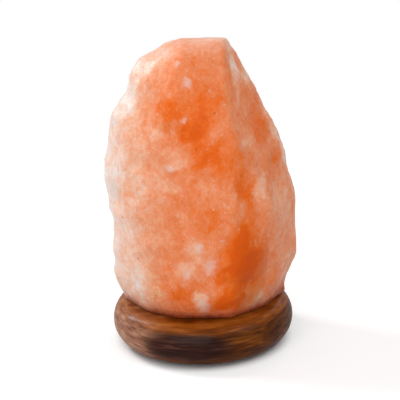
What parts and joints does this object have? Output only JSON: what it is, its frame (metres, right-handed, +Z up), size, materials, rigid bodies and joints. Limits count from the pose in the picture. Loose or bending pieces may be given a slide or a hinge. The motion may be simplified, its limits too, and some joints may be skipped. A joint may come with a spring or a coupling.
{
  "type": "salt crystal lamp",
  "caption": "Rough-hewn salt crystal lamp on a turned wooden base, with a lamp holder and bulb that pull out from below.",
  "frame": {"origin": "centre of the round base, on the surface that the four feet stand on", "axes": "+Z up through the crystal, -Y to the front as pictured, +Y to the back where the cord groove leaves, +X to the right in front view"},
  "size_m": [0.1147, 0.11, 0.1901],
  "materials": {
    "rock_salt": "satin",
    "stained_wood": "satin",
    "black_rubber": "matte",
    "zinc_steel": "satin",
    "spring_steel": "satin",
    "black_resin": "satin",
    "white_ceramic": "matte",
    "brass": "satin",
    "nickel_brass": "satin",
    "solder": "satin",
    "bulb_glass": "gloss",
    "black_glass": "gloss",
    "nickel_wire": "satin",
    "tungsten": "satin"
  },
  "bodies": {
    "lamp_body": {"salt_crystal": "rock_salt", "wooden_base": "stained_wood", "fixing_screws": "zinc_steel", "rubber_feet": "black_rubber"},
    "holder": {"holder_cap": "black_resin", "holder_shell": "black_resin", "terminal_block": "white_ceramic", "terminal_clamps": "brass", "terminal_screws": "zinc_steel", "contact_rivets": "brass", "centre_contact": "brass", "screw_shell": "brass", "clip_bracket": "zinc_steel"},
    "clip_left": {"clip_wing_left": "spring_steel"},
    "clip_right": {"clip_wing_right": "spring_steel"},
    "bulb_tip": {"bulb_contact": "solder"},
    "bulb": {"bulb_glass": "bulb_glass", "bulb_cap": "nickel_brass", "bulb_insulator": "black_glass", "bulb_stem": "bulb_glass", "lead_wires": "nickel_wire", "filament": "tungsten", "filament_support": "nickel_wire"}
  },
  "joints": [
    {"name": "holder_pull", "type": "slide", "parent": "lamp_body", "child": "holder", "axis": [0, 0, -1], "range_m": [0, 0.095]},
    {"name": "clip_left_squeeze", "type": "hinge", "parent": "holder", "child": "clip_left", "pos_m": [-0.017, 0, 0.012], "axis": [0, 1, 0], "range_deg": [0, 14], "stiffness_Nm_per_rad": 0.05, "springref_deg": -28.65},
    {"name": "clip_right_squeeze", "type": "hinge", "parent": "holder", "child": "clip_right", "pos_m": [0.017, 0, 0.012], "axis": [0, -1, 0], "range_deg": [0, 14], "stiffness_Nm_per_rad": 0.05, "springref_deg": -28.65},
    {"name": "bulb_rise", "type": "slide", "parent": "holder", "child": "bulb_tip", "axis": [0, 0, 1], "range_m": [0, 0.0113]},
    {"name": "bulb_turn", "type": "hinge", "parent": "bulb_tip", "child": "bulb", "pos_m": [0, 0, 0.0361], "axis": [0, 0, 1], "range_deg": [0, 1440]}
  ],
  "couplings": [
    {"joint": "bulb_rise", "follows": "bulb_turn", "m_per_rad": 0.00044882}
  ]
}
